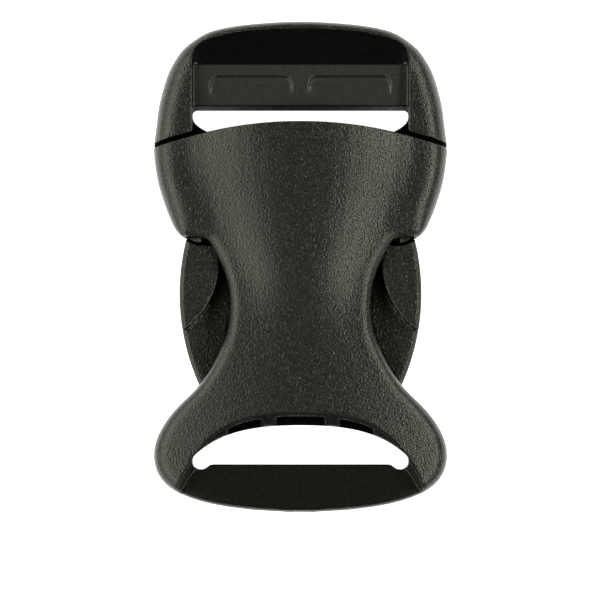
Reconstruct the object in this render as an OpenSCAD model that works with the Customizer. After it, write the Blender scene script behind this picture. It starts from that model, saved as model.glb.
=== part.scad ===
// Side release buckle for flat webbing, fastened, lying on its back face.
// Two mouldings: a plug with a ladder frame and two spring arms, and the socket that it clicks into.
// The length runs along Y with the plug at the far end, the front face looks up.

/* [Webbing] */
// Width of the webbing that both halves take
web_w = 25; // [22:0.5:28]
// Room beside the webbing in each slot, on each side
web_room = 0.3; // [0.1:0.05:0.6]

/* [Outline] */
// Width of each side rail of the plug's frame
rail_w = 4.6; // [4.2:0.1:6]
// Length of the socket, from its lower edge to the side seam
socket_l = 43.1; // [40:0.5:48]
// Length of the plug's frame, from the side seam to its outer edge
frame_l = 15; // [14:0.5:17]
// How far the middle of the mouth edge lies beyond the side seam
mouth_reach = 3; // [2.6:0.1:3.2]

/* [Heights] */
// Height of the front face at the shoulders and the rails
shoulder_h = 9.9; // [9.2:0.1:11]
// Rise of the crown over the shoulders, at the mouth
crown_rise = 2.1; // [1:0.1:3]
// Fall of the legs' front face, from the middle to the full width
leg_fall = 2; // [0.5:0.1:2.6]
// Height of the lower bar's front face
bar_h = 6.2; // [5:0.1:6.8]
// Height of the lower bar's back face over the surface
bar_lift = 1.2; // [0.4:0.1:2]
// Front edge radius of the shoulders, legs and rails
edge_r = 2.2; // [1.6:0.1:2.6]
// Back edge radius
back_r = 1.6; // [0.8:0.1:2]
// Front edge radius of the lower bar
bar_r = 0.9; // [0.5:0.1:1.5]

/* [Walls and fits] */
// Thickness of the socket's front plate
front_wall = 1.8; // [1.2:0.1:2.2]
// Thickness of the front plate where it meets the legs
leg_wall = 2.8; // [2.4:0.1:3.2]
// Thickness of the socket's back plate
back_wall = 1.7; // [1.2:0.1:2.2]
// Thickness of the shoulders' side walls
side_wall = 1.6; // [1.2:0.1:2.2]
// Running clearance between the plug and the socket
fit = 0.2; // [0.1:0.05:0.3]
// Opening of the seam between the rails and the mouth edge, at the back
seam_gap = 0.15; // [0.1:0.05:0.5]
// Slope of the rails' lower ends, which opens the seam towards the front
seam_tilt = 1.5; // [0:0.5:6]
// Lean of both faces of the seam, which hides what lies behind it
seam_lean = 3.5; // [0:0.5:5]

/* [Socket slot] */
// Clear height of the webbing slot in its middle
slot_h = 4.65; // [4:0.05:5.2]
// Depth of the lower bar, from the slot to the lower edge
bar_d = 5.65; // [5:0.05:6.5]
// How far the slot's upper edge falls away from its middle to the full width, evenly
slot_fall = 2.9; // [2:0.1:5]
// How far it falls away besides, in its turn towards the round ends
slot_turn = 7.5; // [5:0.1:9]
// Radius of the slot's rounded ends
slot_end_r = 1; // [0.7:0.05:1.4]
// How far the rounded ends reach below the slot's straight edge
slot_end_drop = 0.65; // [0:0.05:0.8]
// Radius that eases the rounded ends into the slot's edges
slot_ease = 0.8; // [0.2:0.1:1.2]
// How far the step that ends the front face falls away from its middle to the full width, evenly
step_fall = 3.3; // [2:0.1:5]
// How far it falls away besides, in its turn towards the legs
step_turn = 11.9; // [9:0.1:15]
// Run of the sloped wall between the step and the slot, in the middle
step_run = 1.85; // [1.5:0.05:2.4]
// How far the foot of the sloped wall lies inside the slot, in the middle
step_lap = 0.15; // [0.05:0.05:0.4]
// Height of the three pockets in the sloped wall
pocket_h = 1.9; // [0.8:0.1:2.2]
// Material between the pockets and the front face
pocket_roof = 1.3; // [1:0.1:2]
// Width of the middle pocket
pocket_w = 5.7; // [4:0.1:6.5]
// Width of each side pocket
side_pocket_w = 3.9; // [3:0.1:5]
// Web between two pockets
pocket_web = 1.85; // [1:0.05:3]
// Thickness of the cross wall between the slot and the hollow
cross_wall = 3.2; // [2.4:0.1:3.6]

/* [Plug frame] */
// Width of the outer bar's front lip
lip_w = 0.85; // [0.6:0.05:1.2]
// Radius of the opening's corners between the lip and the rails
opening_r = 2; // [0.4:0.1:2.6]
// Inward run of the outer bar's inner face, from front to back
bar_slant = 4.6; // [3.5:0.1:5]
// Depth of the lock bar's front face
lock_d = 4.95; // [4:0.05:5.2]
// Thickness of the lock bar
lock_t = 3; // [2.4:0.1:3.6]
// Depth of the lock bar's front face under the front of the rails
lock_drop = 2; // [1.4:0.1:2.4]
// Distance from the lock bar's upper edge to the outer edge of the frame
lock_set = 5.05; // [4.8:0.05:5.6]
// Run of the lock bar's sloped lower face
lock_slope = 0.6; // [0.3:0.1:1]
// Radius between the lock bar's lower edge and the rails
lock_fillet = 0.5; // [0.2:0.1:0.8]
// Length of each recess in the lock bar
recess_l = 9.7; // [7:0.1:10.5]
// Distance between the two recesses
recess_gap = 2; // [1.2:0.1:4]
// Depth of the recesses at their upper edge
recess_depth = 0.35; // [0.3:0.05:1]
// Run of the recesses' upper wall
recess_wall = 0.3; // [0:0.05:0.5]
// Run of the recesses' sloped floor
recess_d = 2.9; // [2:0.1:3]
// Distance of the recesses from the lock bar's upper edge
recess_set = 1.3; // [0.8:0.1:1.4]
// Corner radius of the recesses
recess_r = 1.3; // [0.6:0.1:1.4]

/* [Plug inside the socket] */
// Depth of the plug's base, along the length
base_d = 6; // [4:0.5:8]
// How far the base stands out beyond the side seam
base_out = 1.5; // [1.2:0.1:2]
// Width of the corner braces between the base and the rails
brace_w = 2.9; // [1.5:0.1:3.5]
// Height of the corner braces over the base
brace_h = 1.9; // [0.8:0.1:3]
// How far the finger pads stand out beyond the shoulders' lower ends
pad_proud = 0.25; // [0.1:0.05:0.8]
// Chamfer along the arms' outer edges
pad_edge = 0.4; // [0.2:0.05:0.6]
// Width of the raised finger pads, sideways
pad_w = 4.7; // [3.8:0.1:5.5]
// Radius of the arms' outer edge
arm_r = 26.3; // [24:0.1:32]
// Length of the arms below the latch
arm_l = 17.4; // [16.8:0.1:17.5]
// Radius of the raised pad's inner edge
pad_r = 9.75; // [8.5:0.05:11]
// Distance from the latch to the place where the raised pad is widest
pad_set = 2.8; // [2:0.1:4]
// Distance from the latch to the place where the arms stand out most
arm_set = 6.5; // [5.5:0.1:7.5]
// Clearance of the latch steps under the shoulders
latch_gap = 0.2; // [0.1:0.05:0.5]
// Undercut of the latch steps
latch_hook = 0.7; // [0:0.1:1.2]
// Height of the arms' back layer, which runs under the latch steps
latch_back = 1.3; // [0.8:0.1:2]
// Depth of the latch steps' front under the front plate
latch_drop = 0.9; // [0.4:0.1:1.5]
// Reach of the latch steps' raised inner corner over the beams
latch_corner = 0.75; // [0.4:0.05:1]
// How far the latch steps' raised corner reaches into the front plate
latch_root = 0.25; // [0.1:0.05:0.5]
// Thickness of each spring beam, sideways
beam_t = 2.2; // [1.6:0.1:2.8]
// Height of the spring beams
beam_h = 4.4; // [3:0.1:5]
// Height of the arms' thin tips
tip_h = 2.4; // [1.8:0.1:3.4]
// Depth of the tips' front under the raised pads
tip_drop = 2.6; // [1:0.1:3]
// Room between each spring beam and the centre tongue, which the arms flex into
flex_room = 5.3; // [4.6:0.1:5.6]
// Height of the centre tongue
tongue_h = 3.2; // [2:0.1:4.5]
// Reach of the centre tongue below the base
tongue_l = 19; // [14:0.5:21]

/* [Hidden] */
plastic = [0.16, 0.16, 0.14];
$fn = 96;
eps = 0.01;
over = 1;

// Facets of the two widest arcs, the mouth edge and the arms' outer edge
MOUTH_FN = 360;
ARM_FN = 240;

// Columns of the table of the socket's front face
FRONT = 1;
RISE = 2;
SPREAD = 3;
EDGE = 4;
FALL = 5;

// Columns of the outlines and of the table of the plug's frame
HALF = 1;
TOP = 2;
BACK = 3;
RIM = 4;

slot_half = web_w / 2 + web_room;
half_w = slot_half + rail_w;
total_l = socket_l + frame_l;
y_low = -total_l / 2;
y_seam = y_low + socket_l;
y_top = total_l / 2;

// Outline of the socket, from its lower edge to beyond the mouth
// Columns: station along socket_l, half-width of half_w
LINE = [
    [0.000, 0.090], [0.006, 0.330], [0.022, 0.600], [0.040, 0.755], [0.062, 0.870], [0.090, 0.947],
    [0.120, 0.985], [0.155, 1.000], [0.190, 0.988], [0.225, 0.953], [0.260, 0.898], [0.295, 0.823],
    [0.325, 0.745], [0.355, 0.678], [0.400, 0.604], [0.450, 0.543], [0.500, 0.497], [0.560, 0.483],
    [0.610, 0.489], [0.660, 0.520], [0.700, 0.560], [0.735, 0.606], [0.748, 0.630], [0.752, 0.650],
    [0.754, 0.680], [0.755, 0.730], [0.756, 0.785], [0.758, 0.810], [0.761, 0.822], [0.768, 0.835],
    [0.779, 0.857], [0.792, 0.871], [0.820, 0.902], [0.860, 0.937], [0.900, 0.967], [0.940, 0.985],
    [1.000, 1.000], [1.100, 1.000]
];

// Front face of the socket along the same stations
// Columns: station, front height of shoulder_h, crown rise of crown_rise, crown spread of half_w,
// edge radius of edge_r, fall of leg_fall
FACE = [
    [0.000, 0.940, 0.00, 0.400, 0.60, 1.00],
    [0.120, 0.960, 0.00, 0.400, 0.60, 1.00],
    [0.260, 0.980, 0.00, 0.400, 0.55, 1.00],
    [0.325, 0.980, 0.00, 0.400, 0.50, 1.00],
    [0.400, 0.980, 0.00, 0.400, 0.48, 0.97],
    [0.473, 0.980, 0.05, 0.400, 0.48, 0.90],
    [0.556, 0.980, 0.19, 0.410, 0.48, 0.70],
    [0.638, 0.980, 0.41, 0.440, 0.48, 0.45],
    [0.690, 0.980, 0.54, 0.500, 0.46, 0.30],
    [0.725, 0.980, 0.60, 0.550, 0.42, 0.22],
    [0.757, 0.982, 0.64, 0.590, 0.45, 0.16],
    [0.790, 0.987, 0.68, 0.630, 0.70, 0.11],
    [0.831, 0.995, 0.73, 0.670, 0.95, 0.06],
    [0.870, 1.000, 0.77, 0.720, 1.00, 0.03],
    [0.913, 1.000, 0.83, 0.770, 1.00, 0.00],
    [1.000, 1.000, 1.00, 0.850, 1.00, 0.00],
    [1.100, 1.000, 1.00, 0.870, 1.00, 0.00]
];

// Sections of the plug's frame, from the side seam to its outer edge
// Columns: station along frame_l, half-width of half_w, front height of shoulder_h,
// back height of shoulder_h, edge radius of edge_r
FRAME = [
    [0.000, 1.000, 1.000, 0.00, 1.00],
    [0.180, 0.980, 0.995, 0.00, 1.00],
    [0.320, 0.965, 0.985, 0.00, 1.00],
    [0.470, 0.934, 0.970, 0.00, 1.00],
    [0.600, 0.897, 0.950, 0.00, 0.95],
    [0.700, 0.850, 0.930, 0.01, 0.85],
    [0.780, 0.800, 0.910, 0.03, 0.75],
    [0.830, 0.748, 0.900, 0.06, 0.65],
    [0.880, 0.687, 0.885, 0.11, 0.55],
    [0.925, 0.606, 0.870, 0.17, 0.45],
    [0.970, 0.420, 0.855, 0.24, 0.40],
    [0.990, 0.230, 0.850, 0.28, 0.40],
    [1.000, 0.090, 0.850, 0.30, 0.40]
];

// Inner edge of the plug's thin arm tips
// Columns: distance below the latch as a share of arm_l, half-width as a share of pad_reach
TIP = [
    [0.29, 0.560],
    [0.52, 0.545],
    [0.78, 0.630],
    [1.00, 0.785]
];

// Stations where the shoulders start and end over the side windows, where the windows end at the legs,
// where the front plate grows thicker towards the legs,
// where the hollow under the crown has faded out and where its cut ends beyond the mouth;
// radius of the hollow's inner corners
SHOULDER = 0.758;
LATCH = 0.756;
WINDOW_END = 0.338;
WINDOW_STEP = 0.45;
HOLLOW_END = 0.5;
MOUTH_END = 1.12;
HOLLOW_R = 0.8;

// Value of a column at a station, on a curve through the rows that swings past none of them
function row_of(table, t, i = 0) = i == len(table) - 2 || table[i + 1][0] > t ? i : row_of(table, t, i + 1);
function rate(table, i, c) = (table[i + 1][c] - table[i][c]) / (table[i + 1][0] - table[i][0]);
function tangent(table, i, c) =
    let (last = len(table) - 1, a = rate(table, max(i - 1, 0), c), b = rate(table, min(i, last - 1), c))
    a * b <= 0 ? 0 : 2 * a * b / (a + b);
function column(table, t, c) =
    let (
        i = row_of(table, t),
        gap = table[i + 1][0] - table[i][0],
        u = (t - table[i][0]) / gap,
        ease = u * u * (3 - 2 * u)
    )
    table[i][c] * (1 - ease) + table[i + 1][c] * ease
        + gap * u * (1 - u) * (tangent(table, i, c) * (1 - u) - tangent(table, i + 1, c) * u);

// Stations of the sections: the rows, and one between two rows that lie further apart than this share
ROW_GAP = 0.012;
function stations(table) = [for (i = [0 : len(table) - 1])
    let (t = table[i][0], gap = i < len(table) - 1 ? table[i + 1][0] - t : 0)
    each gap > ROW_GAP ? [t, t + gap / 2] : [t]];

function socket_y(t) = y_low + t * socket_l;
function socket_t(y) = (y - y_low) / socket_l;
function frame_y(t) = y_seam + t * frame_l;

// Right half of an outline as points, from its low end to its far end
function outline(table, from, l) =
    [for (t = stations(table)) [half_w * column(table, t, HALF), from + t * l]];

// Distance of a point from an outline
function off_line(p, a, b) =
    let (run = b - a, t = max(0, min(1, (p - a) * run / (run * run))))
    norm(p - a - t * run);
function inside(p, line) = min([for (i = [1 : len(line) - 1]) off_line(p, line[i - 1], line[i])]);

// Slant of an outline at a station, as its length per step along Y, held back where it turns across
STEEP = 2.5;
SLANT_STEP = 0.01;
function slant(table, t, l) =
    let (
        a = max(t - SLANT_STEP, table[0][0]),
        b = min(t + SLANT_STEP, table[len(table) - 1][0]),
        run = half_w * (column(table, b, HALF) - column(table, a, HALF)) / ((b - a) * l)
    )
    min(STEEP, sqrt(1 + run * run));

// Fall of a rounded edge of radius r at a distance d inside the outline
function fall(d, r) = d >= r ? 0 : r - sqrt(max(0, d * (2 * r - d)));

// Bell of the crown, 1 in the middle and 0 at its spread, with a broad top
BELL_TOP = 1.5;
function bell(u) = (1 + cos(180 * pow(min(1, u), BELL_TOP))) / 2;

// One section across the body at y: half-width h, slant k, back and front heights,
// crown rise and spread, fall towards the sides, edge radii, and the outline that the edges follow
FLAT = [0.5, 0.85];
BACK_STEPS = 3;
FRONT_STEPS = 4;
CROWN_STEPS = 8;
RUN_MAX = 0.85;
function section(y, h, k, low, front, rise, spread, drop, r_back, r_front, line) =
    let (
        run_b = min(RUN_MAX * h, r_back * k),
        run_f = min(RUN_MAX * h, r_front * k),
        low_xs = concat(
            [for (f = FLAT) f * (h - run_b)],
            [for (i = [0 : BACK_STEPS]) h - run_b * (1 - sin(90 * i / BACK_STEPS))]),
        low_side = [for (x = low_xs) [x, y, low + fall(inside([x, y], line), r_back)]],
        top_side = [for (i = [0 : FRONT_STEPS + CROWN_STEPS])
            let (x = i <= FRONT_STEPS
                ? h - run_f * (1 - cos(90 * i / FRONT_STEPS))
                : (h - run_f) * (1 - (i - FRONT_STEPS) / CROWN_STEPS))
            [x, y, front + rise * bell(x / spread) - drop * pow(x / half_w, 2)
                - fall(inside([x, y], line), r_front)]],
        right = concat(low_side, top_side),
        n = len(right)
    )
    concat(right, [for (i = [n - 2 : -1 : 0]) [-right[i][0], y, right[i][2]]]);

// Skin through a list of sections with the same number of points, closed by a fan at each end
function middle(s) = [0, s[0][1], (min([for (p = s) p[2]]) + max([for (p = s) p[2]])) / 2];
module loft(sections) {
    n = len(sections[0]);
    m = len(sections);
    last = (m - 1) * n;
    sides = [for (i = [0 : m - 2], j = [0 : n - 1])
        let (a = i * n + j, b = i * n + (j + 1) % n)
        each [[a, b, b + n], [a, b + n, a + n]]];
    ends = [for (j = [0 : n - 1])
        let (b = (j + 1) % n)
        each [[b, j, m * n], [last + j, last + b, m * n + 1]]];
    polyhedron(
        points = concat([for (s = sections) each s], [middle(sections[0]), middle(sections[m - 1])]),
        faces = concat(sides, ends));
}

// Outer form of the socket, with its windows and without its hollow
socket_line = concat([[0, y_low]], outline(LINE, y_low, socket_l));
module socket_form() {
    loft([for (t = stations(LINE)) let (edge = edge_r * column(FACE, t, EDGE)) section(
        socket_y(t), half_w * column(LINE, t, HALF), slant(LINE, t, socket_l),
        0, shoulder_h * column(FACE, t, FRONT), crown_rise * column(FACE, t, RISE),
        half_w * column(FACE, t, SPREAD), leg_fall * column(FACE, t, FALL),
        min(back_r, edge), edge, socket_line)]);
}

// Hollow under the crown and between the shoulders, shrunk by a clearance for what fits in it
function hollow_half(t) =
    half_w * column(LINE, max(t, SHOULDER), HALF) - side_wall;
module hollow(t_from, t_to, clear) {
    ts = concat([t_from], [for (t = stations(LINE)) if (t > t_from && t < t_to) t], [t_to]);
    line = [for (t = ts) [hollow_half(t) - clear, socket_y(t)]];
    loft([for (t = ts) section(
        socket_y(t), hollow_half(t) - clear, 1, back_wall + clear,
        shoulder_h * column(FACE, t, FRONT) - front_wall - clear,
        crown_rise * column(FACE, t, RISE), half_w * column(FACE, t, SPREAD),
        leg_fall * column(FACE, t, FALL), HOLLOW_R - clear, HOLLOW_R - clear, line)]);
}

// Space between the front and back plates, open to both sides below the shoulders
plate_top = shoulder_h * column(FACE, WINDOW_END, FRONT);
plate_under = plate_top - front_wall;
module window_gap() {
    translate([-half_w, socket_y(WINDOW_STEP), back_wall])
        cube([2 * half_w, (LATCH - WINDOW_STEP) * socket_l, plate_under - back_wall]);
    translate([-half_w, socket_y(WINDOW_END), back_wall])
        cube([2 * half_w, (LATCH - WINDOW_END) * socket_l, plate_top - leg_wall - back_wall]);
}

// Hidden end of the hollow above the slot's cross wall, a little wider than the pockets
slot_low = y_low + bar_d;
slot_top = slot_low + slot_h;
pockets_half = pocket_w / 2 + pocket_web + side_pocket_w;
module tail_gap() {
    w = pockets_half + side_wall;
    translate([-w, slot_top + cross_wall, back_wall])
        cube([2 * w, socket_y(WINDOW_END) - slot_top - cross_wall + over, plate_under - back_wall]);
}

// Arch across the body as points, with its middle at y, that falls away evenly and in a turn
ARCH_STEP = 0.8;
function arch(y, half, even, turn) =
    let (n = ceil(half / ARCH_STEP))
    [for (i = [-n : n]) let (x = half * i / n, u = x / half_w) [x, y - even * u * u - turn * pow(u, 4)]];

// Webbing slot, cut through: flat lower edge, arched upper edge, round ends
module web_slot() {
    corner = slot_ease / 2;
    upper = arch(slot_top, slot_half, slot_fall, slot_turn);
    layer(-over, shoulder_h + over)
        offset(r = -slot_ease) offset(r = slot_ease + corner) offset(delta = -corner) {
            polygon(concat(upper, [[slot_half, slot_low], [-slot_half, slot_low]]));
            for (side = [-1, 1])
                translate([side * (slot_half - slot_end_r), slot_low - slot_end_drop + slot_end_r])
                    circle(r = slot_end_r);
        }
}

// Plan of all that lies below the step's line, with the middle of the line at y
step_top = slot_top + step_run - step_lap;
module step_plan(y) {
    low = y - step_fall - step_turn - over;
    polygon(concat(arch(y, half_w, step_fall, step_turn), [[half_w, low], [-half_w, low]]));
}

// Sloped step that ends the front face above the slot and beside the lower bar
step_h = plate_top - bar_h;
step_low = bar_h - back_r;
module step_cut() {
    per_mm = step_run / step_h;
    hull() {
        layer(step_low, step_low + eps) step_plan(step_top - per_mm * (plate_top - step_low));
        layer(shoulder_h, shoulder_h + eps) step_plan(step_top + per_mm * (shoulder_h - plate_top));
    }
}

// Flat recess in the back face under the lower bar
module back_step() {
    layer(-over, bar_lift) step_plan(step_top - step_run / 2);
}

// Lower bar between the two legs, with a rounded rim
module lower_bar() {
    bar_end = socket_t(slot_low);
    ts = concat([for (t = stations(LINE)) if (t < bar_end) t], [bar_end]);
    intersection() {
        loft([for (t = ts) section(
            socket_y(t), half_w * column(LINE, t, HALF), slant(LINE, t, socket_l), bar_lift, bar_h,
            0, half_w, 0, back_r, bar_r, socket_line)]);
        layer(0, bar_h + over) step_plan(step_top + over);
    }
}

// Three pockets through the sloped wall into the hollow
module pockets() {
    high = plate_top - pocket_roof;
    y = slot_top + cross_wall + over / 2;
    middle_l = cross_wall + over / 2 + step_run;
    side_l = middle_l + step_run;
    layer(high - pocket_h, high) {
        translate([-pocket_w / 2, y - middle_l]) square([pocket_w, middle_l]);
        for (side = [0, 1]) mirror([side, 0, 0])
            translate([pocket_w / 2 + pocket_web, y - side_l]) square([side_pocket_w, side_l]);
    }
}

// Mouth edge: all that lies beyond its arc, set back by a distance and tilted about X
mouth_top = y_seam + mouth_reach;
mouth_lean = shoulder_h * tan(seam_lean);
mouth_r = (half_w * half_w + mouth_reach * mouth_reach) / (2 * mouth_reach);
module beyond_mouth(back_off, tilt) {
    tall = 2 * (shoulder_h + crown_rise);
    difference() {
        translate([-half_w - over, y_seam - frame_l / 2, -over])
            cube([2 * (half_w + over), 2 * frame_l, tall]);
        translate([0, mouth_top - mouth_r - back_off, 0]) rotate([tilt, 0, 0])
            translate([0, 0, -tall]) cylinder(h = 3 * tall, r = mouth_r, $fn = MOUTH_FN);
    }
}

// Latch steps that carry on the side walls over the arms' back layer, with a raised inner corner
module latch_steps() {
    wall_in = hollow_half(LATCH);
    wall_out = wall_in + side_wall;
    corner_in = wall_in - latch_corner;
    low = arm_low + latch_back + fit;
    high = plate_under - latch_drop;
    y = socket_y(LATCH);
    for (side = [0, 1]) mirror([side, 0, 0]) intersection() {
        translate([0, y + side_wall, 0]) rotate([90, 0, 0]) linear_extrude(2 * side_wall) polygon([
            [wall_in, low], [wall_out, low], [wall_out, high], [wall_in + latch_corner, high],
            [corner_in, plate_under + latch_root], [corner_in, high + fit], [wall_in, high + fit]
        ]);
        linear_extrude(shoulder_h) polygon([
            [corner_in, y + eps], [corner_in, y - latch_hook], [wall_in - fit, y - latch_hook],
            [wall_out, y], [wall_out, y + eps]
        ]);
    }
}

module socket() {
    color(plastic) union() {
        difference() {
            union() {
                difference() {
                    socket_form();
                    step_cut();
                    back_step();
                }
                lower_bar();
            }
            hollow(HOLLOW_END, MOUTH_END, 0);
            window_gap();
            tail_gap();
            web_slot();
            pockets();
            beyond_mouth(mouth_lean, -seam_lean);
        }
        latch_steps();
    }
}

// Outer form of the plug's frame
module frame_form() {
    line = concat(outline(FRAME, y_seam, frame_l), [[0, y_top]]);
    loft([for (t = stations(FRAME)) let (rim = edge_r * column(FRAME, t, RIM)) section(
        frame_y(t), half_w * column(FRAME, t, HALF), slant(FRAME, t, frame_l),
        shoulder_h * column(FRAME, t, BACK), shoulder_h * column(FRAME, t, TOP),
        0, half_w, 0, min(back_r, rim), rim, line)]);
}

// Opening inside the frame, between the rails: its upper side slants inwards towards the back
module frame_opening() {
    right = outline(FRAME, y_seam, frame_l);
    left = [for (i = [len(right) - 1 : -1 : 0]) [-right[i][0], right[i][1]]];
    low = y_seam - frame_l;
    front = shoulder_h * column(FRAME, 1, TOP);
    module plan(shift) {
        offset(r = opening_r) offset(delta = -opening_r) intersection() {
            translate([-slot_half, low]) square([2 * slot_half, 2 * frame_l]);
            translate([0, -lip_w - shift])
                polygon(concat(right, left, [[-half_w, low], [half_w, low]]));
        }
    }
    hull() {
        translate([0, 0, front]) linear_extrude(shoulder_h) plan(0);
        translate([0, 0, -eps]) linear_extrude(eps) plan(bar_slant);
    }
}

// Lock bar between the rails, with its two ramped recesses
lock_y = y_top - lock_set;
lock_z = shoulder_h - lock_drop;
module lock_bar() {
    low = lock_y - lock_d;
    bottom = lock_z - lock_t;
    chamfer = lock_t / 3;
    edge_z = bottom + chamfer / 2;
    difference() {
        across(slot_half + over, 2 * (slot_half + over)) polygon([
            [lock_z, low], [lock_z, lock_y], [bottom + chamfer, lock_y], [bottom, lock_y - chamfer],
            [bottom, low], [edge_z, low - lock_slope]
        ]);
        for (side = [0, 1]) mirror([side, 0, 0]) recess();
    }
    for (side = [0, 1]) mirror([side, 0, 0])
        translate([slot_half - lock_fillet, low - lock_slope - lock_fillet]) layer(bottom, edge_z)
            difference() {
                square([lock_fillet + over, 2 * lock_fillet]);
                circle(r = lock_fillet);
            }
}
module recess() {
    x = recess_gap / 2;
    y = lock_y - recess_set;
    intersection() {
        translate([x, y - recess_d, lock_z - recess_depth - over])
            linear_extrude(recess_depth + 2 * over) {
                translate([recess_r, 0]) square([recess_l - 2 * recess_r, recess_d]);
                square([recess_l, recess_d - recess_r]);
                for (cx = [recess_r, recess_l - recess_r])
                    translate([cx, recess_d - recess_r]) circle(r = recess_r);
            }
        across(x + recess_l + over, recess_l + 2 * over) polygon([
            [lock_z, y - recess_d], [lock_z - recess_depth, y - recess_wall], [lock_z, y],
            [lock_z + over, y], [lock_z + over, y - recess_d]
        ]);
    }
}

// Profile drawn as height and Y, drawn out sideways from its right end over a width
module across(right, width) {
    translate([right, 0, 0]) rotate([0, -90, 0]) linear_extrude(width) children();
}

// Base that closes the mouth, with braces into the rails' lower corners
arm_low = back_wall + fit;
arm_high = plate_under - fit;
arm_mid = (arm_low + arm_high) / 2;
base_top = y_seam + base_out;
BRACE_FACETS = 8;
BRACE_BEND = [0.14, 0.45];
module base() {
    hollow(socket_t(base_top - base_d), socket_t(base_top), fit);
    low_end = [slot_half - brace_w, base_top];
    bend = [slot_half - BRACE_BEND[0] * brace_w, base_top + BRACE_BEND[1] * brace_h];
    high_end = [slot_half, base_top + brace_h];
    edge = [for (i = [0 : BRACE_FACETS]) let (u = i / BRACE_FACETS)
        pow(1 - u, 2) * low_end + 2 * u * (1 - u) * bend + u * u * high_end];
    for (side = [0, 1]) mirror([side, 0, 0]) layer(arm_low, arm_high) polygon(concat(edge, [
        [slot_half + over, base_top + brace_h], [slot_half + over, base_top - over],
        [slot_half - brace_w, base_top - over]
    ]));
}

// Spring arm: beam, raised finger pad under the latch step, and the thin tip
y_latch = socket_y(LATCH) - latch_gap;
beam_out = hollow_half(LATCH) - fit;
beam_in = beam_out - beam_t;
pad_reach = hollow_half(LATCH) + side_wall + pad_proud;
module arm() {
    // Latch step: everything under a line that rises towards the outside
    module under_latch(hook) {
        polygon([
            [beam_in, y_latch - hook], [beam_out, y_latch - hook], [pad_reach - pad_proud, y_latch],
            [pad_reach + over, y_latch], [pad_reach + over, y_latch - arm_l], [0, y_latch - arm_l],
            [0, y_latch - hook]
        ]);
    }
    module pad(hook) {
        intersection() {
            under_latch(hook);
            translate([pad_reach - pad_w + pad_r, y_latch - pad_set]) circle(r = pad_r);
        }
    }
    intersection() {
        disc(arm_low, arm_high);
        union() {
            layer(arm_low, arm_high) pad(latch_hook);
            layer(arm_low, arm_low + latch_back) pad(0);
        }
    }
    intersection() {
        disc(arm_high - tip_drop - tip_h, arm_high - tip_drop);
        layer(arm_low, arm_high) intersection() {
            under_latch(latch_hook);
            polygon(concat(
                [[beam_in, y_latch]],
                [for (r = TIP) [pad_reach * r[1], y_latch - arm_l * r[0]]],
                [[pad_reach + over, y_latch - arm_l], [pad_reach + over, y_latch]]));
        }
    }
    layer(arm_mid - beam_h / 2, arm_mid + beam_h / 2)
        translate([beam_in, y_latch - pad_set])
            square([beam_t, base_top - base_d - y_latch + pad_set + over]);
}

// Round plate between two heights that sets the arms' outer edge, with chamfered rims
module disc(from, to) {
    module plate(low, high, r_low, r_high) {
        translate([pad_reach - arm_r, y_latch - arm_set, low])
            cylinder(h = high - low, r1 = r_low, r2 = r_high, $fn = ARM_FN);
    }
    plate(from, from + pad_edge, arm_r - pad_edge, arm_r);
    plate(from + pad_edge, to - pad_edge, arm_r, arm_r);
    plate(to - pad_edge, to, arm_r, arm_r - pad_edge);
}
module layer(from, to) {
    translate([0, 0, from]) linear_extrude(to - from) children();
}

// Centre tongue that guides the plug, hidden inside the socket
tongue_w = beam_in - flex_room;
module tongue() {
    root = base_top - base_d + over;
    layer(arm_mid - tongue_h / 2, arm_mid + tongue_h / 2) {
        translate([-tongue_w, root - tongue_l + tongue_w]) square([2 * tongue_w, tongue_l - tongue_w]);
        translate([0, root - tongue_l + tongue_w]) circle(r = tongue_w);
    }
}

module plug() {
    color(plastic) union() {
        difference() {
            intersection() {
                frame_form();
                beyond_mouth(mouth_lean - seam_gap, -seam_lean - seam_tilt);
            }
            frame_opening();
        }
        lock_bar();
        base();
        for (side = [0, 1]) mirror([side, 0, 0]) arm();
        tongue();
    }
}

plug();
socket();
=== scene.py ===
"""Dresses the side release buckle: two finished mouldings of black acetal, lying on a pale surface."""

import math

import bmesh
import bpy
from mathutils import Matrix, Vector
from mathutils.bvhtree import BVHTree


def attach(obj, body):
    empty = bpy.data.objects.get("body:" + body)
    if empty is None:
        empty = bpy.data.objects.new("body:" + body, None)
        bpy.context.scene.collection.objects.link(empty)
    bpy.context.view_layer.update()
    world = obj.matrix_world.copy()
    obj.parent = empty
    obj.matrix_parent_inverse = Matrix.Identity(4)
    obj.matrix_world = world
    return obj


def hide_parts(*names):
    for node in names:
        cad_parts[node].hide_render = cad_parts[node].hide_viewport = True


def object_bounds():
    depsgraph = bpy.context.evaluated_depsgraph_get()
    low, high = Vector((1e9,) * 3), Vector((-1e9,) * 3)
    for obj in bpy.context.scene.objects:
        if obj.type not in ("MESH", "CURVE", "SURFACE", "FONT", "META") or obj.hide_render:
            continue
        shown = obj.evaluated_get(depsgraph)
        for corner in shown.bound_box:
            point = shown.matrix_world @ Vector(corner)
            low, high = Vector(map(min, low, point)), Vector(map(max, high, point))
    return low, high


bl_info = {
    "name": "Side Release Buckle",
    "version": (1, 0, 0),
    "blender": (4, 5, 0),
    "location": "View3D > Sidebar > Buckle",
    "description": "Finishes the plug and the socket of a side release buckle and lights them",
    "category": "Add Mesh",
}

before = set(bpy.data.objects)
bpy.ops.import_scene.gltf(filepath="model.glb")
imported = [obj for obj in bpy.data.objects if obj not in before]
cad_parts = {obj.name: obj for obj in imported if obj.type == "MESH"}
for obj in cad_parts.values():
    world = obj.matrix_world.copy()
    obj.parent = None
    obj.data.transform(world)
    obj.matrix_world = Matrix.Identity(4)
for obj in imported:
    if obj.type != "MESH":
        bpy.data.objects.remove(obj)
CAD_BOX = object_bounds()

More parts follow.
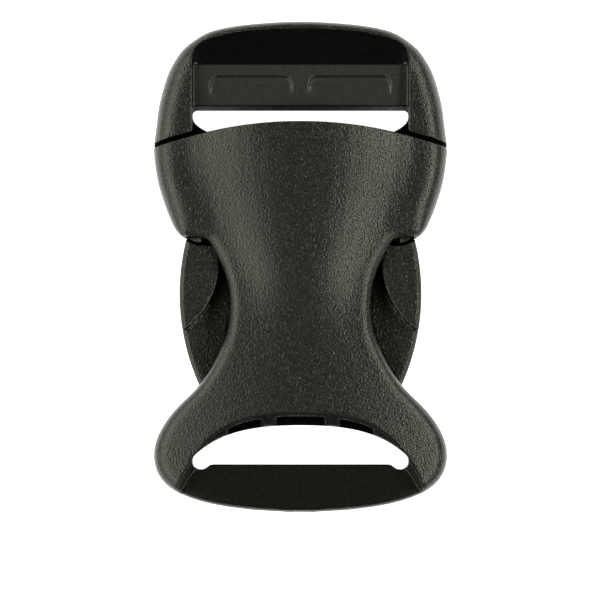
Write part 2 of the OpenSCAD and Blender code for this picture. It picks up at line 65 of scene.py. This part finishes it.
MM = 0.001
FRAME_PX = 600
SENSOR_MM = 36.0
# The last finish paints shade into the hollows, the seam and the pockets
FINISHES = ("acetal_grained", "acetal_bar", "acetal_smooth", "acetal_painted_shade")
ACETAL_IOR = 1.48

# Part of the noise's range that the tone of the grain spreads from 0 to 1
TONE_RANGE = (0.4, 0.6)

# How far a ray starts off the face that it is cast from
LIFT = 0.02 * MM

# Passes that spread the test for hollow places, where shade is painted, over neighbouring faces
EVENING_ROUNDS = 3

# How far up the buckle a face points, by which the faces of a hollow, which get painted shade, are told
# from their neighbours
LIP_SLOPE = -0.3
SEAM_SLOPE = 0.7
POCKET_SLOPE = -0.6

# Depth of the surface under the back face
SURFACE_DEPTH = 0.05 * MM

# Corners of a solid that lie closer than this are one corner
MERGE_DISTANCE = 0.001 * MM

# How far each smoothing pass moves a corner towards the middle of its neighbours
SMOOTHING = 0.5

CLIP_START = 0.01


class BUCKLE_PG_mouldings(bpy.types.PropertyGroup):
    """Sizes that set how finely the mouldings are finished"""

    skin: bpy.props.FloatProperty(
        name="Skin",
        description="Size of the small faces that the moulded skin starts from",
        default=0.12 * MM,
        unit="LENGTH",
    )
    edge_rounds: bpy.props.IntProperty(
        name="Edge rounds",
        description="Passes of smoothing that give every sharp edge its moulded radius",
        default=6,
    )
    face_rounds: bpy.props.IntProperty(
        name="Face rounds",
        description="Passes of smoothing that make the crowned faces flow",
        default=80,
    )
    kept_faces: bpy.props.FloatProperty(
        name="Kept faces",
        description="Share of the skin's faces that is kept where it is nearly flat",
        default=0.22,
        subtype="FACTOR",
    )
    flow_angle: bpy.props.FloatProperty(
        name="Flow angle",
        description="Faces that meet at less than this angle flow into each other",
        default=math.radians(12),
        subtype="ANGLE",
    )


class BUCKLE_PG_acetal(bpy.types.PropertyGroup):
    """Look of the black acetal, where its finishes lie, and where shade is painted on it"""

    colour: bpy.props.FloatVectorProperty(
        name="Colour",
        description="Colour of the plastic itself",
        default=(0.0035, 0.0035, 0.003),
        subtype="COLOR",
    )
    # Painted shade: the darker colour of the faces in hollows, seams and pockets, where little light
    # reaches
    painted_shade_colour: bpy.props.FloatVectorProperty(
        name="Core colour",
        description="Colour of the plastic where a core of the mould left it dull",
        default=(0.0008, 0.0008, 0.0007),
        subtype="COLOR",
    )
    tint: bpy.props.FloatVectorProperty(
        name="Tint",
        description="Tint of the light that the plastic's skin reflects",
        default=(1.0, 0.99, 0.84),
        subtype="COLOR",
    )
    roughness: bpy.props.FloatProperty(
        name="Roughness",
        description="Roughness of the grained faces",
        default=0.3,
        subtype="FACTOR",
    )
    bar_roughness: bpy.props.FloatProperty(
        name="Bar roughness",
        description="Roughness of the lock bar, which is finely grained",
        default=0.45,
        subtype="FACTOR",
    )
    smooth_roughness: bpy.props.FloatProperty(
        name="Smooth roughness",
        description="Roughness of the smooth lower bar that the webbing runs round",
        default=0.3,
        subtype="FACTOR",
    )
    painted_shade_roughness: bpy.props.FloatProperty(
        name="Core roughness",
        description="Roughness of the dull faces inside",
        default=0.7,
        subtype="FACTOR",
    )
    shine: bpy.props.FloatProperty(
        name="Shine",
        description="Strength of the reflections on the outer faces",
        default=0.5,
        subtype="FACTOR",
    )
    smooth_shine: bpy.props.FloatProperty(
        name="Smooth shine",
        description="Strength of the reflections on the smooth lower bar",
        default=0.25,
        subtype="FACTOR",
    )
    # Painted shade: the faces in hollows reflect almost nothing, so that they read dark
    painted_shade_shine: bpy.props.FloatProperty(
        name="Core shine",
        description="Strength of the reflections on the dull faces inside",
        default=0.02,
        subtype="FACTOR",
    )
    grain: bpy.props.FloatProperty(
        name="Grain",
        description="Size of one bump of the moulded grain",
        default=0.21 * MM,
        unit="LENGTH",
    )
    grain_depth: bpy.props.FloatProperty(
        name="Grain depth",
        description="Height of the moulded grain",
        default=0.035 * MM,
        unit="LENGTH",
    )
    bar_grain: bpy.props.FloatProperty(
        name="Grain on the bars",
        description="Height of the grain on both bars, as a share of the grain depth",
        default=1 / 3,
        subtype="FACTOR",
    )
    painted_shade_grain: bpy.props.FloatProperty(
        name="Grain inside",
        description="Height of the grain on the dull faces inside, as a share of the grain depth",
        default=1 / 8,
        subtype="FACTOR",
    )
    mottle: bpy.props.FloatProperty(
        name="Mottle",
        description="How far the colour of single grains departs from the plastic's, as a share",
        default=0.8,
        subtype="FACTOR",
    )
    polish: bpy.props.FloatProperty(
        name="Polish",
        description="How much smoother the tops of the grains are than their feet, as a share",
        default=0.15,
        subtype="FACTOR",
    )
    # Painted shade: faces that lie inside by this test get the darker, duller acetal
    hollow_reach: bpy.props.FloatProperty(
        name="Hollow reach",
        description="A face lies inside where another face stands before it within this distance",
        default=7 * MM,
        unit="LENGTH",
    )
    bar_half: bpy.props.FloatProperty(
        name="Bar half-width",
        description="Half the width of the lock bar",
        default=12.7 * MM,
        unit="LENGTH",
    )
    bar_low: bpy.props.FloatProperty(
        name="Bar lower edge",
        description="Place of the lock bar's lower edge along the length",
        default=18.3 * MM,
        unit="LENGTH",
    )
    bar_high: bpy.props.FloatProperty(
        name="Bar upper edge",
        description="Place of the lock bar's upper edge along the length",
        default=24.2 * MM,
        unit="LENGTH",
    )
    lip_low: bpy.props.FloatProperty(
        name="Foot under the lip",
        description="Place along the length of the foot of the outer bar's inner face",
        default=23.3 * MM,
        unit="LENGTH",
    )
    bar_back: bpy.props.FloatProperty(
        name="Bar back",
        description="Height of the lock bar's back face",
        default=4.8 * MM,
        unit="LENGTH",
    )
    base_low: bpy.props.FloatProperty(
        name="Base lower edge",
        description="Place along the length above which the plug lies behind the socket's mouth",
        default=3.3 * MM,
        unit="LENGTH",
    )
    base_half: bpy.props.FloatProperty(
        name="Base half-width",
        description="Half the width of the plug's base, which shows through the seam",
        default=15.7 * MM,
        unit="LENGTH",
    )
    base_front: bpy.props.FloatProperty(
        name="Base front",
        description="Height of the base's front face beside the lock bar",
        default=8.6 * MM,
        unit="LENGTH",
    )
    mouth_low: bpy.props.FloatProperty(
        name="Mouth edge",
        description="Place along the length where the socket's mouth edge starts at the seam",
        default=13.8 * MM,
        unit="LENGTH",
    )
    pockets_half: bpy.props.FloatProperty(
        name="Pockets' half-width",
        description="Half the width of the three pockets together",
        default=8.8 * MM,
        unit="LENGTH",
    )
    pockets_low: bpy.props.FloatProperty(
        name="Pockets' lower edge",
        description="Place along the length of the pockets' lower edge",
        default=-20.5 * MM,
        unit="LENGTH",
    )
    pockets_front: bpy.props.FloatProperty(
        name="Pockets' front",
        description="Height of the pockets' front wall",
        default=8.5 * MM,
        unit="LENGTH",
    )
    step_top: bpy.props.FloatProperty(
        name="Step",
        description="Place along the length of the middle of the line that ends the grained front face",
        default=-17.1 * MM,
        unit="LENGTH",
    )
    step_fall: bpy.props.FloatProperty(
        name="Step fall",
        description="How far the line falls away evenly, from the middle to the full width",
        default=3.3 * MM,
        unit="LENGTH",
    )
    step_turn: bpy.props.FloatProperty(
        name="Step turn",
        description="How far the line falls away besides, in its turn towards the legs",
        default=11.9 * MM,
        unit="LENGTH",
    )
    half_width: bpy.props.FloatProperty(
        name="Half-width",
        description="Half the full width of the buckle",
        default=CAD_BOX[1][0],
        unit="LENGTH",
    )


class BUCKLE_PG_stage(bpy.types.PropertyGroup):
    """Surface, light and camera"""

    floor_colour: bpy.props.FloatVectorProperty(
        name="Floor colour",
        description="Colour of the pale surface",
        default=(0.9, 0.9, 0.9),
        subtype="COLOR",
    )
    floor_roughness: bpy.props.FloatProperty(
        name="Floor roughness",
        description="Roughness of the pale surface",
        default=0.9,
        subtype="FACTOR",
    )
    floor_glow: bpy.props.FloatProperty(
        name="Floor glow",
        description="Light that the pale surface gives off itself, as a light table does",
        default=1.0,
    )
    floor_reach: bpy.props.FloatProperty(
        name="Floor reach",
        description="How far the pale surface reaches from the buckle to each side",
        default=0.6,
        unit="LENGTH",
    )
    room_light: bpy.props.FloatProperty(
        name="Room light",
        description="Strength of the even light from all round",
        default=0.02,
    )
    key_power: bpy.props.FloatProperty(
        name="Key power",
        description="Power of the strip light on the right",
        default=5.2,
        unit="POWER",
    )
    key_angle: bpy.props.FloatProperty(
        name="Key angle",
        description="Angle of the strip light on the right, off the vertical",
        default=math.radians(38),
        subtype="ANGLE",
    )
    fill_power: bpy.props.FloatProperty(
        name="Fill power",
        description="Power of each strip light on the left",
        default=1.6,
        unit="POWER",
    )
    fill_strips: bpy.props.IntProperty(
        name="Fill strips",
        description="Number of strip lights on the left, evenly spread",
        default=4,
        min=2,
    )
    fill_high: bpy.props.FloatProperty(
        name="Fill high",
        description="Angle of the highest strip light on the left, off the vertical",
        default=math.radians(30),
        subtype="ANGLE",
    )
    fill_low: bpy.props.FloatProperty(
        name="Fill low",
        description="Angle of the lowest strip light on the left, off the vertical",
        default=math.radians(62),
        subtype="ANGLE",
    )
    strip_length: bpy.props.FloatProperty(
        name="Strip length",
        description="Length of each strip light",
        default=1.2,
        unit="LENGTH",
    )
    strip_width: bpy.props.FloatProperty(
        name="Strip width",
        description="Width of each strip light",
        default=0.14,
        unit="LENGTH",
    )
    strip_distance: bpy.props.FloatProperty(
        name="Strip distance",
        description="Distance of each strip light from the buckle",
        default=0.6,
        unit="LENGTH",
    )
    strip_colour: bpy.props.FloatVectorProperty(
        name="Strip colour",
        description="Colour of the light",
        default=(1.0, 0.99, 0.97),
        subtype="COLOR",
    )
    scale_px: bpy.props.FloatProperty(
        name="Scale",
        description="Pixels of the picture to a millimetre of the buckle",
        default=8.43,
    )
    centre_px: bpy.props.FloatVectorProperty(
        name="Centre",
        description="Place of the buckle's origin in the picture, in pixels from its top left corner",
        default=(300.5, 267.0),
        size=2,
    )
    distance: bpy.props.FloatProperty(
        name="Distance",
        description="Height of the camera over the buckle",
        default=3.0,
        unit="LENGTH",
    )


def apply_modifiers(piece):
    """Makes the piece's mesh what its modifiers show, and takes them off."""
    graph = bpy.context.evaluated_depsgraph_get()
    finished = bpy.data.meshes.new_from_object(piece.evaluated_get(graph))
    piece.modifiers.clear()
    old = piece.data
    piece.data = finished
    bpy.data.meshes.remove(old)


def solid_copy(node, name):
    """A new object with the node's solid, its loose triangles merged."""
    mesh = bpy.data.meshes.new(name)
    form = bmesh.new()
    form.from_mesh(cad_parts[node].data)
    bmesh.ops.remove_doubles(form, verts=form.verts, dist=MERGE_DISTANCE)
    form.to_mesh(mesh)
    form.free()
    piece = bpy.data.objects.new(name, mesh)
    bpy.context.scene.collection.objects.link(piece)
    return piece


def smooth(piece, rounds, group=""):
    """Adds the smoothing passes to the piece, on a vertex group where one is named."""
    step = piece.modifiers.new("smooth", "SMOOTH")
    step.factor = SMOOTHING
    step.iterations = rounds
    step.vertex_group = group


def mark_flow(piece, angle):
    """Puts every vertex whose faces all meet at less than the angle into the group flow."""
    form = bmesh.new()
    form.from_mesh(piece.data)
    flowing = [
        v.index
        for v in form.verts
        if all(e.calc_face_angle(math.pi) < angle for e in v.link_edges)
    ]
    form.free()
    piece.vertex_groups.new(name="flow").add(flowing, 1.0, "REPLACE")


def moulded(node, name, sizes):
    """The node's solid with a fine moulded skin: rounded edges, and faces that flow."""
    piece = solid_copy(node, name)
    skin = piece.modifiers.new("skin", "REMESH")
    skin.mode = "VOXEL"
    skin.voxel_size = sizes.skin
    smooth(piece, sizes.edge_rounds)
    apply_modifiers(piece)
    mark_flow(piece, sizes.flow_angle)
    smooth(piece, sizes.face_rounds, "flow")
    thin = piece.modifiers.new("thin", "DECIMATE")
    thin.ratio = sizes.kept_faces
    apply_modifiers(piece)
    piece.vertex_groups.clear()
    for face in piece.data.polygons:
        face.use_smooth = True
    return piece


def new_group(name, inputs, outputs):
    """An empty shader node group with the named sockets, and its two end nodes."""
    group = bpy.data.node_groups.new(name, "ShaderNodeTree")
    for title, kind, value in inputs:
        socket = group.interface.new_socket(name=title, in_out="INPUT", socket_type=kind)
        if value is not None:
            socket.default_value = value
    for title, kind in outputs:
        group.interface.new_socket(name=title, in_out="OUTPUT", socket_type=kind)
    return group, group.nodes.new("NodeGroupInput"), group.nodes.new("NodeGroupOutput")


def moulded_grain_group():
    """Fine moulded grain: small round domes and a noise, as the height of a bump and as a mottled tone."""
    group, start, end = new_group(
        "moulded_grain",
        [("Vector", "NodeSocketVector", None), ("Scale", "NodeSocketFloat", 3000.0)],
        [("Height", "NodeSocketFloat"), ("Tone", "NodeSocketFloat")],
    )
    grains = group.nodes.new("ShaderNodeTexVoronoi")
    grains.feature = "F1"
    dome = group.nodes.new("ShaderNodeMath")
    dome.operation = "POWER"
    dome.inputs[1].default_value = 2.0
    noise = group.nodes.new("ShaderNodeTexNoise")
    noise.inputs["Detail"].default_value = 1.0
    height = group.nodes.new("ShaderNodeMath")
    height.operation = "SUBTRACT"
    links = group.links
    for texture in (grains, noise):
        links.new(start.outputs["Vector"], texture.inputs["Vector"])
        links.new(start.outputs["Scale"], texture.inputs["Scale"])
    links.new(grains.outputs["Distance"], dome.inputs[0])
    links.new(noise.outputs["Fac"], height.inputs[0])
    links.new(dome.outputs["Value"], height.inputs[1])
    links.new(height.outputs["Value"], end.inputs["Height"])
    tone = group.nodes.new("ShaderNodeMapRange")
    tone.inputs["From Min"].default_value, tone.inputs["From Max"].default_value = TONE_RANGE
    links.new(noise.outputs["Fac"], tone.inputs["Value"])
    links.new(tone.outputs["Result"], end.inputs["Tone"])
    return group


def acetal(name, grain, look, colour, roughness, shine, depth):
    """Black acetal in one finish, with grain of the given depth."""
    material = bpy.data.materials.new(name)
    material.use_nodes = True
    nodes, links = material.node_tree.nodes, material.node_tree.links
    shader = nodes["Principled BSDF"]
    shader.inputs["IOR"].default_value = ACETAL_IOR
    shader.inputs["Specular IOR Level"].default_value = shine
    shader.inputs["Specular Tint"].default_value = (*look.tint, 1.0)
    place = nodes.new("ShaderNodeTexCoord")
    effect = nodes.new("ShaderNodeGroup")
    effect.node_tree = grain
    effect.inputs["Scale"].default_value = 1 / look.grain
    bump = nodes.new("ShaderNodeBump")
    bump.inputs["Distance"].default_value = depth
    links.new(place.outputs["Object"], effect.inputs["Vector"])
    links.new(effect.outputs["Height"], bump.inputs["Height"])
    links.new(bump.outputs["Normal"], shader.inputs["Normal"])
    mottled = nodes.new("ShaderNodeMix")
    mottled.data_type = "RGBA"
    mottled.inputs["A"].default_value = (*(v * (1 - look.mottle) for v in colour), 1.0)
    mottled.inputs["B"].default_value = (*(v * (1 + look.mottle) for v in colour), 1.0)
    links.new(effect.outputs["Tone"], mottled.inputs["Factor"])
    links.new(mottled.outputs["Result"], shader.inputs["Base Color"])
    worn = nodes.new("ShaderNodeMapRange")
    worn.inputs["To Min"].default_value = roughness * (1 + look.polish)
    worn.inputs["To Max"].default_value = roughness * (1 - look.polish)
    links.new(effect.outputs["Tone"], worn.inputs["Value"])
    links.new(worn.outputs["Result"], shader.inputs["Roughness"])
    return material


def solids_tree():
    """Search tree over the faces of all the solids."""
    form = bmesh.new()
    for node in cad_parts.values():
        form.from_mesh(node.data)
    tree = BVHTree.FromBMesh(form)
    form.free()
    return tree


def lies_inside(tree, place, normal, reach):
    """True where something stands before a face within the reach."""
    start = place + normal * LIFT
    left = reach
    while left > 0:
        hit, facing, _, gone = tree.ray_cast(start, normal, left)
        if hit is None:
            return False
        if facing.dot(normal) < 0:
            return True
        start = hit + normal * LIFT
        left -= gone + LIFT
    return False


def is_on_bar(place, normal, look):
    """True on the lock bar, where it faces forwards."""
    along = abs(place.x) < look.bar_half and look.bar_low < place.y < look.bar_high
    return along and place.z > look.bar_back and normal.z > 0


def is_below_step(place, look):
    """True on the lower bar and on the slope above it."""
    u = place.x / look.half_width
    return place.y < look.step_top - look.step_fall * u**2 - look.step_turn * u**4


def is_painted_shade_on_plug(place, normal, look):
    """True where shade is painted on the plug: on the base behind the socket's mouth, and on the outer
    bar's inner face under the lip.
    """
    side = abs(place.x)
    on_base = look.base_low < place.y < look.bar_low and (
        side < look.bar_half or (side < look.base_half and place.z < look.base_front)
    )
    under_lip = side < look.bar_half and place.y > look.lip_low and normal.y < LIP_SLOPE
    return on_base or under_lip


def is_painted_shade_on_socket(place, normal, look):
    """True where shade is painted on the socket: on the mouth's edge face in the seam, and in the pockets
    of the sloped wall.
    """
    in_seam = place.y > look.mouth_low and normal.y > SEAM_SLOPE
    in_pocket = (
        abs(place.x) < look.pockets_half
        and place.y > look.pockets_low
        and place.z < look.pockets_front
        and is_below_step(place, look)
        and normal.y > POCKET_SLOPE
    )
    return in_seam or in_pocket


# Tests, for each piece, of the places where shade is painted
PAINTED_SHADE_TESTS = {"plug": is_painted_shade_on_plug, "socket": is_painted_shade_on_socket}


def evened(form, share, rounds):
    """Spreads each face's share over its neighbours."""
    for _ in range(rounds):
        at_vert = [sum(share[f.index] for f in v.link_faces) / len(v.link_faces) for v in form.verts]
        share = [sum(at_vert[v.index] for v in f.verts) / len(f.verts) for f in form.faces]
    return share


def set_finishes(piece, node, look):
    """Gives each face of the piece the finish of the place where it lies, with painted shade on the faces
    in hollows, in the seam and in the pockets.
    """
    tree = solids_tree()
    form = bmesh.new()
    form.from_mesh(piece.data)
    form.verts.index_update()
    form.faces.index_update()
    # Mask of the faces in hollows, which get painted shade
    inside = [
        float(lies_inside(tree, f.calc_center_median(), f.normal, look.hollow_reach)) for f in form.faces
    ]
    inside = evened(form, inside, EVENING_ROUNDS)
    for face in form.faces:
        place = face.calc_center_median()
        if is_on_bar(place, face.normal, look):
            finish = "acetal_bar"
        # Faces in hollows, in the seam and in the pockets get painted shade
        elif inside[face.index] > 0.5 or PAINTED_SHADE_TESTS[node](place, face.normal, look):
            finish = "acetal_painted_shade"
        elif is_below_step(place, look):
            finish = "acetal_smooth"
        else:
            finish = "acetal_grained"
        face.material_index = FINISHES.index(finish)
    form.to_mesh(piece.data)
    form.free()


def finish_piece(piece, node, look):
    """Gives the piece its finishes, and lets it stand for the node."""
    piece.data.materials.clear()
    for name in FINISHES:
        piece.data.materials.append(bpy.data.materials[name])
    set_finishes(piece, node, look)
    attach(piece, "root")
    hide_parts(node)


class BUCKLE_OT_materials(bpy.types.Operator):
    """Make the acetal finishes, and a darker, duller copy of the acetal that paints shade into the hollows
    """

    bl_idname = "buckle.materials"
    bl_label = "Acetal"

    def execute(self, context):
        look = context.scene.buckle_acetal
        grain = moulded_grain_group()
        deep = look.grain_depth
        fine = deep * look.bar_grain
        slight = deep * look.painted_shade_grain
        acetal("acetal_grained", grain, look, look.colour, look.roughness, look.shine, deep)
        acetal("acetal_bar", grain, look, look.colour, look.bar_roughness, look.shine, fine)
        acetal("acetal_smooth", grain, look, look.colour, look.smooth_roughness, look.smooth_shine, fine)
        # Painted shade: a darker, nearly unreflecting copy of the acetal for the faces in hollows, the
        # seam and the pockets
        acetal("acetal_painted_shade", grain, look, look.painted_shade_colour, look.painted_shade_roughness, look.painted_shade_shine, slight)
        return {"FINISHED"}


class BUCKLE_OT_plug(bpy.types.Operator):
    """Finish the plug"""

    bl_idname = "buckle.plug"
    bl_label = "Plug"

    def execute(self, context):
        piece = moulded("plug", "plug_moulding", context.scene.buckle_mouldings)
        finish_piece(piece, "plug", context.scene.buckle_acetal)
        return {"FINISHED"}


class BUCKLE_OT_socket(bpy.types.Operator):
    """Finish the socket"""

    bl_idname = "buckle.socket"
    bl_label = "Socket"

    def execute(self, context):
        piece = moulded("socket", "socket_moulding", context.scene.buckle_mouldings)
        finish_piece(piece, "socket", context.scene.buckle_acetal)
        return {"FINISHED"}


def pale_surface(look):
    """The surface that the buckle lies on, which glows a little."""
    mesh = bpy.data.meshes.new("surface")
    form = bmesh.new()
    bmesh.ops.create_grid(form, x_segments=1, y_segments=1, size=look.floor_reach)
    bmesh.ops.translate(form, verts=form.verts, vec=(0, 0, -SURFACE_DEPTH))
    form.to_mesh(mesh)
    form.free()
    surface = bpy.data.objects.new("surface", mesh)
    bpy.context.scene.collection.objects.link(surface)
    material = bpy.data.materials.new("surface_pale")
    material.use_nodes = True
    shader = material.node_tree.nodes["Principled BSDF"]
    shader.inputs["Base Color"].default_value = (*look.floor_colour, 1.0)
    shader.inputs["Roughness"].default_value = look.floor_roughness
    shader.inputs["Emission Color"].default_value = (1, 1, 1, 1)
    shader.inputs["Emission Strength"].default_value = look.floor_glow
    mesh.materials.append(material)


def strip_light(name, side, angle, power, look):
    """A long soft light along the buckle, turned towards it: side -1 is the left and 1 the right."""
    data = bpy.data.lights.new(name, "AREA")
    data.shape = "RECTANGLE"
    data.size, data.size_y = look.strip_length, look.strip_width
    data.energy = power
    data.color = look.strip_colour
    light = bpy.data.objects.new(name, data)
    place = look.strip_distance * Vector((side * math.sin(angle), 0, math.cos(angle)))
    light.location = place
    light.rotation_euler = (-place).to_track_quat("-Z", "Y").to_euler()
    bpy.context.scene.collection.objects.link(light)


def soft_light(look):
    """A key strip on the right, a fan of fill strips on the left, and a little light from all round."""
    strip_light("light_right", 1, look.key_angle, look.key_power, look)
    step = (look.fill_low - look.fill_high) / (look.fill_strips - 1)
    for i in range(look.fill_strips):
        strip_light("light_left", -1, look.fill_high + i * step, look.fill_power, look)

    world = bpy.data.worlds.new("studio")
    world.use_nodes = True
    world.node_tree.nodes["Background"].inputs["Color"].default_value = (1, 1, 1, 1)
    world.node_tree.nodes["Background"].inputs["Strength"].default_value = look.room_light
    bpy.context.scene.world = world


def overhead_camera(look):
    """A camera straight above, framed so that the buckle has the picture's scale and place."""
    data = bpy.data.cameras.new("camera")
    camera = bpy.data.objects.new("camera", data)
    bpy.context.scene.collection.objects.link(camera)
    middle = FRAME_PX / 2
    x = (middle - look.centre_px[0]) / look.scale_px * MM
    y = (look.centre_px[1] - middle) / look.scale_px * MM
    camera.location = (x, y, look.distance)
    data.sensor_width = SENSOR_MM
    data.lens = SENSOR_MM * look.distance / (FRAME_PX / look.scale_px * MM)
    data.clip_start = CLIP_START
    bpy.context.scene.camera = camera


class BUCKLE_OT_stage(bpy.types.Operator):
    """Lay the buckle on a pale surface, under soft light and the camera"""

    bl_idname = "buckle.stage"
    bl_label = "Stage"

    def execute(self, context):
        look = context.scene.buckle_stage
        pale_surface(look)
        soft_light(look)
        overhead_camera(look)
        context.scene.view_settings.view_transform = "Standard"
        return {"FINISHED"}


class BUCKLE_PT_panel(bpy.types.Panel):
    """Lists the steps that finish the buckle"""

    bl_idname = "BUCKLE_PT_panel"
    bl_label = "Side Release Buckle"
    bl_space_type = "VIEW_3D"
    bl_region_type = "UI"
    bl_category = "Buckle"

    def draw(self, context):
        for step in STEPS:
            self.layout.operator(step.bl_idname)
        for group in ("buckle_mouldings", "buckle_acetal", "buckle_stage"):
            values = getattr(context.scene, group)
            for name in values.bl_rna.properties.keys():
                if name not in ("name", "rna_type"):
                    self.layout.prop(values, name)


STEPS = (BUCKLE_OT_materials, BUCKLE_OT_plug, BUCKLE_OT_socket, BUCKLE_OT_stage)
GROUPS = (BUCKLE_PG_mouldings, BUCKLE_PG_acetal, BUCKLE_PG_stage)
CLASSES = (*GROUPS, *STEPS, BUCKLE_PT_panel)


def register():
    """Registers the classes and hangs their values on the scene."""
    for entry in CLASSES:
        bpy.utils.register_class(entry)
    bpy.types.Scene.buckle_mouldings = bpy.props.PointerProperty(type=BUCKLE_PG_mouldings)
    bpy.types.Scene.buckle_acetal = bpy.props.PointerProperty(type=BUCKLE_PG_acetal)
    bpy.types.Scene.buckle_stage = bpy.props.PointerProperty(type=BUCKLE_PG_stage)


def unregister():
    """Takes the values and the classes off again."""
    del bpy.types.Scene.buckle_mouldings
    del bpy.types.Scene.buckle_acetal
    del bpy.types.Scene.buckle_stage
    for entry in reversed(CLASSES):
        bpy.utils.unregister_class(entry)


def main():
    """Finishes and lights the buckle."""
    register()
    bpy.ops.buckle.materials()
    bpy.ops.buckle.plug()
    bpy.ops.buckle.socket()
    bpy.ops.buckle.stage()


if __name__ == "__main__":
    main()
